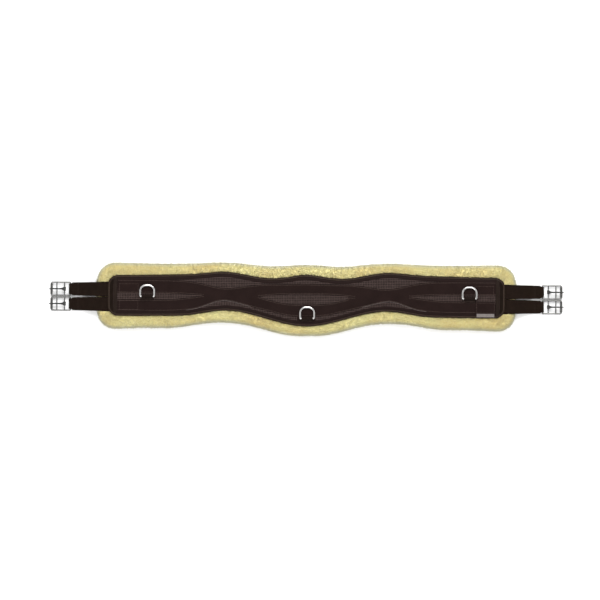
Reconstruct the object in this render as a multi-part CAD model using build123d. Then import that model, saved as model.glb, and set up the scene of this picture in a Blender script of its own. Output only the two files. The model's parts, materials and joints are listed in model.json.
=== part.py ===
"""Saddle girth with a sheepskin, elastic straps and roller buckles.

Millimetres, +Z up. The girth lies flat on its sheepskin: X runs along it, Y across it, and the
underside of the wool is Z = 0. Shapes are drawn with Y = 0 on the line midway between the two straps
of an end, which runs the whole length of the girth, and are then moved so that the part's own
origin is under the middle of its box.
"""

from build123d import *
import os

# ---- driving dimensions: the whole girth -----------------------------------------------------
BODY_HALF = 481.5            # middle of the girth to the end of the padded body
BODY_CORNER = 24.0
WOOL_HALF = 509.0            # middle of the girth to the end of the sheepskin
WOOL_CORNER = 44.0
MOVED_POINTS = 48            # points that carry a long edge when it is moved in or out

# half outlines, from the middle to where an end's corner begins; the other half is the mirror image
BODY_TOP = [(0, 56.5), (30, 53.0), (62, 48.5), (92, 47.3), (145, 55.0), (195, 62.2), (260, 57.5),
            (330, 54.6), (457.5, 52.6)]
BODY_BOTTOM = [(0, -69.5), (30, -67.0), (60, -61.0), (100, -50.3), (145, -38.4), (195, -32.2),
               (240, -36.7), (285, -43.8), (340, -45.8), (457.5, -46.6)]
WOOL_TOP = [(0, 79.0), (90, 75.2), (145, 80.4), (200, 83.4), (290, 80.2), (400, 80.2), (465, 81.2)]
WOOL_BOTTOM = [(0, -91.6), (30, -91.0), (60, -87.2), (100, -77.2), (150, -65.0), (210, -60.2),
               (260, -64.8), (320, -73.4), (400, -74.6), (465, -77.0)]

# ---- driving dimensions: layers, from the underside up ----------------------------------------
PILE = 18.0                  # wool under the body
PILE_RIM = 23.0              # top of the wool that stands round the body
POCKET_GAP = 1.5             # wool to body, all round
HIDE = 1.4
TAPE = 1.0                   # each half of the hook and loop fastening
LINING = 1.0
WEBBING = 1.6
FOAM = 7.6
MESH = 1.2
OVERLAY = 1.0
BINDING = 0.8                # cloth of the bound edge
BINDING_WALL = 1.2
BINDING_LIP = 5.0
HIDDEN_GAP = 0.1             # inner pieces to the binding's wall

HIDE_Z = PILE
HOOK_Z = HIDE_Z + HIDE
LOOP_Z = HOOK_Z + TAPE
LINING_Z = LOOP_Z + TAPE
WEBBING_Z = LINING_Z + LINING
TAIL_Z = WEBBING_Z + WEBBING
MESH_Z = WEBBING_Z + FOAM
OVERLAY_Z = MESH_Z + MESH
TOP_Z = OVERLAY_Z + OVERLAY

# ---- driving dimensions: straps and buckles ------------------------------------------------------
STRAP_PITCH = 36.0           # middle of one strap to middle of its neighbour
STRAP = 2.2                  # thickness of the elastic
STRAP_HALF_BODY = 16.7       # half width where it leaves the body
STRAP_HALF_LOOP = 15.6       # half width before the buckle
STRAP_HALF_FOLD = 13.2       # half width in the fold, between the buckle's rails
TAIL_X = 405.0               # where the sewn-in end begins, inside the body
DROP_START_X = 506.0         # the strap comes down over the edge of the wool from here ...
DROP_END_X = 546.0           # ... to here
LOOP_X = 552.0               # the web ends here, and the sewn loop begins
LOOP_GAP = 0.3

BAR_X = 574.0                # the buckle's bar in the fold
PIN_X = 588.5                # tongue pin
CROSSBAR_X = 607.0
ROLLER_X = 620.0
TIP_X = 625.4                # tongue tip
BUCKLE_Z = 4.2               # height of all the buckle's bars
WIRE = 1.7                   # radius of the frame's wire
FRAME_WIDTH = 35.2           # outside
FRAME_CORNER = 2.4           # radius of the wire's middle line
PIN = 1.3                    # radius, of the crossbar too
ROLLER = 3.0                 # radius
ROLLER_LENGTH = 26.6
RUNNING = 0.05               # radial clearance of a pin or roller
LOOSE = 0.3                  # radial clearance of cloth round a bar
TONGUE = 2.4                 # thickness
TONGUE_HALF = 1.9            # half width of the stalk
TONGUE_EYE = 3.3             # radius round the pin
TONGUE_ROOT = 5.2            # radius of the rounded root, from above
TONGUE_REST = 0.25           # tongue to roller

# ---- driving dimensions: D-rings, tabs, ends and patch --------------------------------------------
RING_WIRE = 2.25             # radius
RING_FOOT = 16.8             # half length of the straight bar, to its corners
RING_HEAD = 17.2
RING_HEIGHT = 27.0
RING_FOOT_CORNER = 2.5
RING_HEAD_CORNER = 14.3
TAB_HALF = 14.2
TAB = 1.2
TAB_TAIL = 8.0
RINGS = {"left": (-385.5, 1.0), "centre": (2.0, -49.5), "right": (395.0, 1.0)}

WELT_X = 459.0
CAP_X = 468.5
PATCH = (410.0, 457.5, -45.0, -7.3)
STRIP = (412.5, 455.5, -44.0, -35.5)


def whole(half):
    """Both halves of a half outline, from left to right."""
    return [(-x, y) for x, y in reversed(half[1:])] + half


def edge_curve(half):
    """One long edge of an outline, level at both ends."""
    return Spline(*whole(half), tangents=[(1, 0), (1, 0)])


def moved_edge(half, amount):
    """The same long edge moved square to itself by an amount, upwards where that is positive."""
    curve = edge_curve(half)
    if not amount:
        return curve
    steps = [i / MOVED_POINTS for i in range(MOVED_POINTS + 1)]
    points = [curve @ t + (curve % t).rotate(Axis.Z, 90) * amount for t in steps]
    return Spline(*points, tangents=[(1, 0), (1, 0)])


def outline(top, bottom, end, corner, inset=0):
    """Closed outline: two wavy long edges, two straight ends and four quarter-circle corners."""
    high = top[-1][1] - corner
    low = bottom[-1][1] + corner
    inner = end - corner
    outer = end - inset
    radius = corner - inset
    return make_face([
        moved_edge(top, -inset),
        CenterArc((inner, high), radius, 0, 90),
        Line((outer, high), (outer, low)),
        CenterArc((inner, low), radius, 270, 90),
        moved_edge(bottom, inset),
        CenterArc((-inner, low), radius, 180, 90),
        Line((-outer, low), (-outer, high)),
        CenterArc((-inner, high), radius, 90, 90),
    ])


def body_outline(inset=0):
    """The body's outline, moved in by an amount, or out by a negative one."""
    return outline(BODY_TOP, BODY_BOTTOM, BODY_HALF, BODY_CORNER, inset)


WOOL_FACE = outline(WOOL_TOP, WOOL_BOTTOM, WOOL_HALF, WOOL_CORNER)
WOOL_BOX = WOOL_FACE.bounding_box()
MIDLINE_Y = -(WOOL_BOX.max.Y + WOOL_BOX.min.Y) / 2


def layer(face, bottom, thickness):
    """A flat sheet of a given outline, its underside at a given height."""
    return extrude(Pos(0, 0, bottom) * face, amount=thickness, dir=(0, 0, 1))


def block(x0, x1, y0, y1, z0, z1):
    """A box between two corners."""
    middle = Pos((x0 + x1) / 2, (y0 + y1) / 2, (z0 + z1) / 2)
    return middle * Box(x1 - x0, y1 - y0, z1 - z0)


def both_ends(shape):
    """A shape and its mirror image at the other end of the girth."""
    return shape + mirror(shape, about=Plane.YZ)


def side_profile(face, half_width):
    """A profile drawn along the girth and upwards, given its width across the girth."""
    return extrude(Plane.XZ * face, amount=half_width, both=True)


def cross_rod(x, z, radius, length):
    """A rod across the girth."""
    return Pos(x, 0, z) * Rot(90, 0, 0) * Cylinder(radius, length)


# ---- sheepskin and padded body --------------------------------------------------------------------
def sheepskin_pile():
    wool = layer(WOOL_FACE, 0, PILE_RIM)
    wool = fillet(wool.edges().group_by(Axis.Z)[-1], 10)
    wool = fillet(wool.edges().group_by(Axis.Z)[0], 5)
    return wool - layer(body_outline(-POCKET_GAP), PILE, PILE_RIM)


def fastening_tapes(bottom):
    """Three lengths of tape: one under the middle, one towards each end."""
    length, width, away = 160, 25, 300
    middle = block(-length / 2, length / 2, -18, -18 + width, bottom, bottom + TAPE)
    end = block(away - length / 2, away + length / 2, -8, -8 + width, bottom, bottom + TAPE)
    return [middle, end, mirror(end, about=Plane.YZ)]


def spine_webbing():
    """Two straight webbings that carry the pull of the straps from end to end."""
    reach, inner, outer = 450, 4, 26
    upper = block(-reach, reach, inner, outer, WEBBING_Z, TAIL_Z)
    return [upper, mirror(upper, about=Plane.XZ)]


def foam_core():
    foam = layer(body_outline(BINDING_WALL + HIDDEN_GAP), WEBBING_Z, FOAM)
    for webbing in spine_webbing():
        foam -= webbing
    half = STRAP_PITCH / 2 + STRAP_HALF_BODY + LOOSE
    tails = block(TAIL_X - LOOSE, BODY_HALF, -half, half, TAIL_Z, TAIL_Z + STRAP + LOOSE)
    return foam - both_ends(tails)


def crossing_ribbons():
    """Overlay: two wavy ribbons that cross at both waists, and the windows between them."""
    end = WELT_X - 0.5
    top = [(0, 34.0), (50, 33.0), (118, 31.0), (160, 25.5), (199, 22.5), (240, 30.0), (285, 38.5),
           (340, 41.5), (end, 42.0)]
    bottom = [(0, -46.0), (45, -43.5), (83, -35.0), (121, -26.0), (165, -14.5), (201, -8.5),
              (230, -15.0), (262, -26.5), (310, -33.5), (end, -34.5)]
    sheet = make_face([
        edge_curve(top),
        Line((end, top[-1][1]), (end, bottom[-1][1])),
        edge_curve(bottom),
        Line((-end, bottom[-1][1]), (-end, top[-1][1])),
    ])
    window_top = Spline((-116, 2), (-70, 6.8), (0, 8.2), (70, 6.8), (116, 2))
    window_bottom = Spline((-116, 2), (-83, -7.5), (-45, -14.6), (0, -15.8), (45, -14.6), (83, -7.5),
                           (116, 2))
    sheet -= make_face([window_top, window_bottom])
    tip, full, high, low = (250, 4), 345, 8.7, -6.3
    end_window = make_face([
        Spline(tip, (300, 7.4), (full, high), tangents=[(1, 0.1), (1, 0)]),
        Line((full, high), (end + 1, high)),
        Line((end + 1, high), (end + 1, low)),
        Line((end + 1, low), (full, low)),
        Spline((full, low), (300, -2.9), tip, tangents=[(-1, 0), (-1, 0.16)]),
    ])
    sheet -= end_window
    sheet -= mirror(end_window, about=Plane.YZ)
    lug = Pos(0, -53) * Rectangle(44, 18)
    return layer(sheet + lug, OVERLAY_Z, OVERLAY)


def edge_binding():
    """Bound edge: a C-shaped cloth round the layers, open where the straps come out."""
    low = LINING_Z - BINDING
    high = OVERLAY_Z + BINDING
    edge = layer(body_outline(), low, high - low)
    edge -= layer(body_outline(BINDING_WALL), LINING_Z, OVERLAY_Z - LINING_Z)
    edge -= layer(body_outline(BINDING_LIP), low - 1, high - low + 2)
    half = STRAP_PITCH / 2 + STRAP_HALF_BODY + LOOSE
    slot = block(BODY_HALF - 10, BODY_HALF + 10, -half, half, TAIL_Z - LOOSE / 2, TAIL_Z + STRAP + LOOSE)
    return edge - both_ends(slot)


def end_piece(x0, x1, thickness, round_top):
    """A piece across the right end of the body, inside the binding, its long top edges rounded."""
    reach = body_outline(BINDING_LIP + 2 * HIDDEN_GAP) & Pos((x0 + x1) / 2, 0) * Rectangle(x1 - x0, 200)
    piece = layer(reach, OVERLAY_Z, thickness)
    return fillet(piece.edges().group_by(Axis.Z)[-1].filter_by(Axis.Y), round_top)


# ---- straps -----------------------------------------------------------------------------------
def strap_web():
    """Elastic web, flat in the body, coming down over the wool to the level of the buckle."""
    tail = TAIL_Z + STRAP / 2
    low = LOOP_Z_MIDDLE
    end = LOOP_X - LOOP_GAP
    path = FilletPolyline((TAIL_X, tail), (DROP_START_X, tail), (DROP_END_X, low), (end, low),
                          radius=[60, 20])
    web = side_profile(trace(path, STRAP), 2 * STRAP_HALF_BODY)
    plan = Polygon((TAIL_X - 1, STRAP_HALF_BODY), (BODY_HALF, STRAP_HALF_BODY),
                   (end, STRAP_HALF_LOOP), (end, -STRAP_HALF_LOOP),
                   (BODY_HALF, -STRAP_HALF_BODY), (TAIL_X - 1, -STRAP_HALF_BODY), align=None)
    return web & layer(plan, 0, 2 * PILE_RIM)


LOOP_Z_MIDDLE = BUCKLE_Z - WIRE - LOOSE - STRAP / 2 + STRAP   # middle of the loop's upper layer
FOLD_IN = WIRE + LOOSE
FOLD_OUT = FOLD_IN + STRAP - 0.2


def strap_loop():
    """End of the strap, folded round the buckle's bar and sewn back under itself."""
    floor = BUCKLE_Z - FOLD_OUT
    upper = LOOP_Z_MIDDLE + STRAP / 2
    shape = Polygon((LOOP_X, floor), (BAR_X, floor), (BAR_X, BUCKLE_Z + FOLD_OUT), (BAR_X - 3.5, 7.6),
                    (BAR_X - 12, upper), (LOOP_X, upper), align=None)
    shape += Pos(BAR_X, BUCKLE_Z) * Circle(FOLD_OUT)
    shape -= Pos(BAR_X, BUCKLE_Z) * Circle(FOLD_IN)
    shape -= Polygon((BAR_X, BUCKLE_Z - FOLD_IN), (BAR_X, BUCKLE_Z + FOLD_IN),
                     (BAR_X - 9.5, BUCKLE_Z - FOLD_IN + 0.1), align=None)
    loop = side_profile(shape, 2 * STRAP_HALF_BODY)
    neck, wide = BAR_X - 5, BAR_X - 13
    far = BAR_X + FOLD_OUT + 1
    plan = Polygon((LOOP_X, STRAP_HALF_LOOP), (wide, STRAP_HALF_LOOP), (neck, STRAP_HALF_FOLD),
                   (far, STRAP_HALF_FOLD), (far, -STRAP_HALF_FOLD), (neck, -STRAP_HALF_FOLD),
                   (wide, -STRAP_HALF_LOOP), (LOOP_X, -STRAP_HALF_LOOP), align=None)
    return loop & layer(plan, 0, PILE_RIM)


# ---- buckles ------------------------------------------------------------------------------------
RAIL_Y = FRAME_WIDTH / 2 - WIRE


def bent_wire(path, radius):
    """A round wire along a closed path."""
    return sweep(Plane(origin=path @ 0, z_dir=path % 0) * Circle(radius), path=path)


def buckle_frame():
    """Closed rectangular wire frame with a crossbar, drilled for the tongue pin."""
    corners = [(BAR_X, -RAIL_Y), (ROLLER_X, -RAIL_Y), (ROLLER_X, RAIL_Y), (BAR_X, RAIL_Y)]
    frame = Pos(0, 0, BUCKLE_Z) * bent_wire(FilletPolyline(*corners, radius=FRAME_CORNER, close=True),
                                            WIRE)
    frame += cross_rod(CROSSBAR_X, BUCKLE_Z, PIN, 2 * RAIL_Y)
    return frame - tongue_pin()


def tongue_pin():
    return cross_rod(PIN_X, BUCKLE_Z, PIN, 2 * RAIL_Y)


def roller():
    tube = cross_rod(ROLLER_X, BUCKLE_Z, ROLLER, ROLLER_LENGTH)
    tube = fillet(tube.edges(), 0.5)
    return tube - cross_rod(ROLLER_X, BUCKLE_Z, WIRE + RUNNING, ROLLER_LENGTH + 2)


def tongue():
    """Tongue: an eye round the pin, a rounded root, and a stalk that ends just past the roller."""
    over = BUCKLE_Z + ROLLER + TONGUE_REST + TONGUE / 2
    line = FilletPolyline((PIN_X + 1.5, BUCKLE_Z + 1.9), (PIN_X + 7, BUCKLE_Z + 2.3),
                          (CROSSBAR_X + 3, over), (ROLLER_X + 1, over), (TIP_X, over - 1.6),
                          radius=[8, 12, 3.5])
    root = TONGUE_ROOT - 0.6
    tip = TONGUE_HALF - 0.3
    plan = Polygon((PIN_X, root), (PIN_X, -root), (PIN_X + 8, -TONGUE_HALF), (TIP_X - 1, -tip),
                   (TIP_X + 1, -0.9), (TIP_X + 1, 0.9), (TIP_X - 1, tip), (PIN_X + 8, TONGUE_HALF),
                   align=None)
    stalk = side_profile(trace(line, TONGUE), 2 * TONGUE_ROOT) & layer(plan, 0, PILE_RIM)
    eye = cross_rod(PIN_X, BUCKLE_Z, TONGUE_EYE, 3 * TONGUE_ROOT)
    eye &= Pos(PIN_X, 0, BUCKLE_Z) * Cylinder(TONGUE_ROOT, PILE_RIM)
    bore = cross_rod(PIN_X, BUCKLE_Z, PIN + RUNNING, 4 * TONGUE_ROOT)
    return (eye - bore) + (stalk - bore)


# ---- D-rings --------------------------------------------------------------------------------------
RING_Z = TOP_Z + TAB + LOOSE + RING_WIRE


def d_ring():
    """D-ring lying flat, its straight bar on the X axis and its arch towards +Y."""
    feet, head = (RING_FOOT, 0), (RING_HEAD, RING_HEIGHT)
    path = FilletPolyline((-feet[0], 0), feet, head, (-head[0], head[1]), close=True,
                          radius=[RING_FOOT_CORNER, RING_FOOT_CORNER, RING_HEAD_CORNER,
                                  RING_HEAD_CORNER])
    return Pos(0, 0, RING_Z) * bent_wire(path, RING_WIRE)


def ring_tab():
    """Tab folded over the D-ring's bar and sewn down behind it."""
    bore = RING_WIRE + LOOSE
    around = bore + TAB
    tail = -TAB_TAIL
    shape = Pos(0, RING_Z) * Circle(around)
    shape += Polygon((0, TOP_Z), (tail, TOP_Z), (tail, TOP_Z + 2 * TAB), (-8, TOP_Z + 2 * TAB),
                     (-1.6, RING_Z + around - 0.4), align=None)
    shape -= Pos(0, RING_Z) * Circle(bore)
    return extrude(Plane.YZ * shape, amount=TAB_HALF, both=True)


# ---- write one file for each piece -----------------------------------------------------------------
os.makedirs("parts", exist_ok=True)


def write(name, shape):
    """Move a piece, or a list of separate like pieces, to the part's origin and write it."""
    solids = shape if isinstance(shape, list) else [shape]
    moved = [Pos(0, MIDLINE_Y, 0) * solid for solid in solids]
    export_step(moved[0] if len(moved) == 1 else Compound(children=moved), f"parts/{name}.step")


write("sheepskin_pile", sheepskin_pile())
write("sheepskin_backing", layer(body_outline(-POCKET_GAP + 0.5), HIDE_Z, HIDE))
write("hook_tapes", fastening_tapes(HOOK_Z))
write("loop_tapes", fastening_tapes(LOOP_Z))
write("inner_lining", layer(body_outline(BINDING_WALL + HIDDEN_GAP), LINING_Z, LINING))
write("spine_webbing", spine_webbing())
write("foam_core", foam_core())
write("mesh_panel", layer(body_outline(BINDING_WALL + HIDDEN_GAP), MESH_Z, MESH))
write("wave_overlay", crossing_ribbons())
write("edge_binding", edge_binding())

END_PIECES = {
    "end_welt": end_piece(WELT_X, CAP_X - 0.5, 2.4, 1.2),
    "end_cap": end_piece(CAP_X, BODY_HALF, 1.5, 0.6),
}
for name, piece in END_PIECES.items():
    write(f"{name}_right", piece)
    write(f"{name}_left", mirror(piece, about=Plane.YZ))

write("label_patch", block(*PATCH, TOP_Z, TOP_Z + 1.0))
write("label_strip", block(*STRIP, TOP_Z + 1.0, TOP_Z + 1.5))

for place, (x, y) in RINGS.items():
    write(f"d_ring_{place}", Pos(x, y, 0) * d_ring())
    write(f"ring_tab_{place}", Pos(x, y, 0) * ring_tab())

STRAP_PIECES = {
    "strap_web": strap_web(),
    "strap_loop": strap_loop(),
    "buckle_frame": buckle_frame(),
    "tongue_pin": tongue_pin(),
    "tongue": tongue(),
    "roller": roller(),
}
for name, piece in STRAP_PIECES.items():
    for row, y in (("upper", STRAP_PITCH / 2), ("lower", -STRAP_PITCH / 2)):
        placed = Pos(0, y, 0) * piece
        write(f"{name}_right_{row}", placed)
        write(f"{name}_left_{row}", mirror(placed, about=Plane.YZ))

print("midline at Y =", round(MIDLINE_Y, 3), " ring bar at Z =", RING_Z)
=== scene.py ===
# %% [markdown]
# # A saddle girth on its sheepskin
# A girth goes under a horse and holds the saddle on. This one is a padded strap with a shaped body,
# elastic ends with roller buckles, D-rings for a breastplate, and a sheepskin under it all.
# The metal comes from the frame as it is. Everything soft is built here as surfaces worked out with
# numpy, because cloth, wool and stitching need curves that a plain solid doesn't have.

# %% Load the frame
import json
import bpy
import numpy as np
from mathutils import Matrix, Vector


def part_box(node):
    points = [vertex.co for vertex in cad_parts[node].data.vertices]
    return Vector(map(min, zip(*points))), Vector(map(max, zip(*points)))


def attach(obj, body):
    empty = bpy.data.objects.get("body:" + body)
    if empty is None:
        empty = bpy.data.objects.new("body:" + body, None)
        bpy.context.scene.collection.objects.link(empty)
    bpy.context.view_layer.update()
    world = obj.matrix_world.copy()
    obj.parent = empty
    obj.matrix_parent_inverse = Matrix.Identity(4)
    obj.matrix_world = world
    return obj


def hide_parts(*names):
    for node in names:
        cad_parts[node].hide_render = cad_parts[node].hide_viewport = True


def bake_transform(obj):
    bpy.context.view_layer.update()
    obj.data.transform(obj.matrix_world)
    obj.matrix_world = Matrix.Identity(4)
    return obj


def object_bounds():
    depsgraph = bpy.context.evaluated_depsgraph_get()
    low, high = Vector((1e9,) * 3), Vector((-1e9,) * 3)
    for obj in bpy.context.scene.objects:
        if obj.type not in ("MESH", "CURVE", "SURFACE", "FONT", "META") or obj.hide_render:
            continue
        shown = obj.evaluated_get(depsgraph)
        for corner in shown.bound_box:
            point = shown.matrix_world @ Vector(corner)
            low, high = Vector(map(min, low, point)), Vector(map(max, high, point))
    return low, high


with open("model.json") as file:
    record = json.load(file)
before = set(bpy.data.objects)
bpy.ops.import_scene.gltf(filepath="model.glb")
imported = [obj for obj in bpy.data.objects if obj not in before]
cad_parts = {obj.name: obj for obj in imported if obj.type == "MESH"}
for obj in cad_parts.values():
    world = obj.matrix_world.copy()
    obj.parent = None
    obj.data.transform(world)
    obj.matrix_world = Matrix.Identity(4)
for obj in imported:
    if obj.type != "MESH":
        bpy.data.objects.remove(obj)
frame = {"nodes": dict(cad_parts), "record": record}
cad_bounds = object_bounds()
MM = 0.001

# %% [markdown]
# ## Small tools
# A surface here is a grid of points, worked out as whole arrays. These helpers turn such a grid into
# faces and a mesh, and give it its place in the frame. One helper for all pieces keeps each piece's
# own cell short, so that it can be about its shape.

# %% Grids and meshes
def grid_quads(n_u, n_v, close_u=False, close_v=False, start=0, flip=False):
    """Quads of an n_u by n_v grid of points, counted row by row, joined up where it closes."""
    u = np.arange(n_u if close_u else n_u - 1)[:, None]
    v = np.arange(n_v if close_v else n_v - 1)[None, :]
    u1, v1 = (u + 1) % n_u, (v + 1) % n_v
    quads = np.stack([u * n_v + v, u1 * n_v + v, u1 * n_v + v1, u * n_v + v1], -1)
    quads = quads.reshape(-1, 4) + start
    return quads[:, ::-1] if flip else quads


def tube_faces(rings, sides, flip=False):
    """Faces of a closed tube of rings: its quads, and a flat face at each end."""
    faces = grid_quads(rings, sides, close_v=True, flip=flip).tolist()
    return faces + [list(range(sides)), list(range((rings - 1) * sides, rings * sides))[::-1]]


def grid_points(x, y, z):
    """Three arrays of coordinates as rows of points."""
    return np.stack([x, y, z], -1).reshape(-1, 3)


def places(x, y):
    """Two arrays of coordinates as rows of flat places."""
    return np.stack([np.ravel(x), np.ravel(y)], 1)


def unit(vectors):
    """The same directions with length one."""
    return vectors / np.linalg.norm(vectors, axis=-1, keepdims=True)


def make_piece(name, points, faces, material, body="root", replaces=(), slot=None, values=None):
    """A smooth mesh object that rides on a body. Points are in metres; values are named arrays with
    one number a point, for its material."""
    mesh = bpy.data.meshes.new(name)
    faces = faces.tolist() if isinstance(faces, np.ndarray) else faces
    mesh.from_pydata(points.tolist(), [], faces)
    mesh.polygons.foreach_set("use_smooth", np.ones(len(mesh.polygons), dtype=bool))
    for label, numbers in (values or {}).items():
        mesh.attributes.new(label, "FLOAT", "POINT").data.foreach_set("value", numbers)
    mesh.materials.append(material)
    mesh.update()
    obj = bpy.data.objects.new(name, mesh)
    bpy.context.collection.objects.link(obj)
    if body:
        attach(obj, body)
    if replaces:
        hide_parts(*replaces)
    print(name, "points", len(points), "faces", len(faces))
    return obj


def node_points(name):
    """All points of a frame node."""
    mesh = frame["nodes"][name].data
    co = np.empty(3 * len(mesh.vertices))
    mesh.vertices.foreach_get("co", co)
    return co.reshape(-1, 3)


def box(name):
    """A node's lowest and highest corners as arrays."""
    low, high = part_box(name)
    return np.array(low), np.array(high)


# %% [markdown]
# ## Outlines from the frame
# The body and the sheepskin are long wavy plates in the frame, so their outlines are read back from
# there. The points of a plate's upper and lower long edges are sorted along the girth and resampled
# at even steps, and a light smoothing takes away the corners of the straight spans between them.

# %% Outline tools
def smooth_closed(values, width):
    """Smooths a closed row of values with a bell of the given width in steps."""
    reach = int(4 * width) + 1
    bell = np.exp(-0.5 * (np.arange(-reach, reach + 1) / width) ** 2)
    bell /= bell.sum()
    padded = np.concatenate([values[-reach:], values, values[:reach]])
    return np.stack([np.convolve(padded[:, k], bell, "valid") for k in range(values.shape[1])], 1)


def resample(line, step, closed=False):
    """Points at even steps along a line of points."""
    if closed:
        line = np.vstack([line, line[:1]])
    run = np.concatenate([[0], np.cumsum(np.linalg.norm(np.diff(line, axis=0), axis=1))])
    count = max(int(round(run[-1] / step)), 2)
    at = np.linspace(0, run[-1], count + 1)
    at = at[:-1] if closed else at
    return np.stack([np.interp(at, run, line[:, k]) for k in range(line.shape[1])], 1)


def outward(line, closed=True):
    """Unit direction to the right of a line, which is out of a loop that runs anticlockwise."""
    if closed:
        run = np.roll(line, -1, 0) - np.roll(line, 1, 0)
    else:
        run = np.gradient(line, axis=0)
    run = unit(run)
    return np.stack([run[:, 1], -run[:, 0]], 1)


def moved_in(line, amount, closed=True):
    """A line moved to its left, which is into such a loop, by an amount."""
    return line - amount * outward(line, closed)


def plate_outline(name, step=2 * MM):
    """Anticlockwise outline of a flat plate, at even steps."""
    flat = np.unique(np.round(node_points(name)[:, :2], 6), axis=0)
    upper = flat[flat[:, 1] > MIDLINE]
    lower = flat[flat[:, 1] <= MIDLINE]
    upper = upper[np.argsort(-upper[:, 0])]
    lower = lower[np.argsort(lower[:, 0])]
    return smooth_closed(resample(np.vstack([lower, upper]), step, closed=True), 1.5)


hinge_at = {j["name"]: np.array(j["pos_m"]) for j in frame["record"]["behaviour"]["joints"]
            if "pos_m" in j}
MIDLINE = 0.5 * (hinge_at["buckle_hinge_left_upper"][1] + hinge_at["buckle_hinge_left_lower"][1])
LINING_INSET = 1.3 * MM                # the lining is cut this much smaller than the body
body_outline = moved_in(plate_outline("inner_lining"), -LINING_INSET)
print("midline", round(MIDLINE, 5), "outline points", len(body_outline))


# %% [markdown]
# ## The padded top
# Foam between two cloths is thickest in the middle and rolls down to the bound edge, so every piece
# on the top follows one surface: its height falls off within a roll's width of the body's edge. Each
# piece asks the surface for its height, and so patches, stitches and tabs lie on it with no fitting.

# %% The crowned surface
def distance_to(points, line, closed=True):
    """Distance from each point to a line of points, span by span."""
    start = line
    end = np.roll(line, -1, 0) if closed else line[1:]
    start = start if closed else line[:-1]
    span = end - start
    length2 = (span ** 2).sum(1)
    result = np.empty(len(points))
    for first in range(0, len(points), 2000):
        away = points[first:first + 2000, None, :] - start[None]
        t = np.clip((away * span).sum(2) / length2, 0, 1)
        result[first:first + 2000] = np.sqrt((((away - t[..., None] * span) ** 2).sum(2)).min(1))
    return result


def soft_noise(points, size, seed, waves=24):
    """Smooth lumps about a given size: a sum of waves in random directions, between about -1 and 1."""
    rng = np.random.default_rng(seed)
    facing = rng.normal(size=(waves, points.shape[1]))
    facing /= np.linalg.norm(facing, axis=1, keepdims=True)
    pitch = size * rng.uniform(0.7, 1.6, waves)
    phase = rng.uniform(0, 2 * np.pi, waves)
    return np.sin(points @ (facing / pitch[:, None]).T * 2 * np.pi + phase).sum(1) / np.sqrt(waves)


OVERLAY_TOP = box("wave_overlay")[1][2]
OVERLAY = 0.9 * MM                     # thickness of the overlay's cloth
EDGE_DROP = 3.2 * MM                   # how far the top rolls down at the body's edge
EDGE_ROLL = 20 * MM                    # how wide that roll is
RIPPLE = 0.22 * MM                     # height of the soft ripples on the top


def top_height(x, y):
    """Height of the overlay's upper face: level in the middle, rolling down towards the edge."""
    flat = places(x, y)
    near = np.clip(distance_to(flat, body_outline) / EDGE_ROLL, 0, 1)
    ripple = RIPPLE * soft_noise(flat, 45 * MM, 3) * near
    return (OVERLAY_TOP - EDGE_DROP * (1 - near) ** 2.4 + ripple).reshape(np.shape(x))


print("top of the girth", round(OVERLAY_TOP, 4), "edge", round(float(OVERLAY_TOP - EDGE_DROP), 4))

# %% [markdown]
# ## Shared effects
# Every cloth and leather here has a colour that wanders a little and a fine relief. Those effects are
# node groups, built once with named inputs, so that each material says only its own sizes and
# colours. Coordinates are the object's own, in metres, so a pattern has a real size.

# %% Node helpers
def new_group(name, inputs, outputs):
    """An empty node group with typed sockets; inputs are (name, kind, value)."""
    group = bpy.data.node_groups.new(name, "ShaderNodeTree")
    for label, kind, value in inputs:
        socket = group.interface.new_socket(label, in_out="INPUT", socket_type=kind)
        if value is not None:
            socket.default_value = value
    for label, kind in outputs:
        group.interface.new_socket(label, in_out="OUTPUT", socket_type=kind)
    return group, group.nodes.new("NodeGroupInput"), group.nodes.new("NodeGroupOutput")


def add(tree, kind, links=None, **settings):
    """Adds a node, sets its values and links its inputs: links maps an input to a socket or a value."""
    node = tree.nodes.new(kind)
    for key, value in settings.items():
        setattr(node, key, value)
    for key, value in (links or {}).items():
        if isinstance(value, bpy.types.NodeSocket):
            tree.links.new(value, node.inputs[key])
        else:
            node.inputs[key].default_value = value
    return node


def maths(tree, operation, *values):
    """One step of arithmetic on sockets or numbers, as a socket."""
    return add(tree, "ShaderNodeMath", dict(enumerate(values)), operation=operation).outputs[0]


VALUE, COLOUR, VECTOR = "NodeSocketFloat", "NodeSocketColor", "NodeSocketVector"


def mottle_group():
    """Colour that wanders between two shades in soft patches."""
    group, source, result = new_group(
        "Mottle",
        [("Place", VECTOR, None), ("Scale", VALUE, 60.0), ("Dark", COLOUR, (0, 0, 0, 1)),
         ("Light", COLOUR, (1, 1, 1, 1))],
        [("Color", COLOUR), ("Value", VALUE)])
    noise = add(group, "ShaderNodeTexNoise",
                {"Vector": source.outputs["Place"], "Scale": source.outputs["Scale"], "Detail": 5.0,
                 "Roughness": 0.6})
    spread = add(group, "ShaderNodeMapRange", {0: noise.outputs["Fac"], 1: 0.3, 2: 0.7})
    mix = add(group, "ShaderNodeMix",
              {"Factor": spread.outputs[0], 6: source.outputs["Dark"], 7: source.outputs["Light"]},
              data_type="RGBA")
    group.links.new(mix.outputs[2], result.inputs["Color"])
    group.links.new(spread.outputs[0], result.inputs["Value"])
    return group


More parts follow.
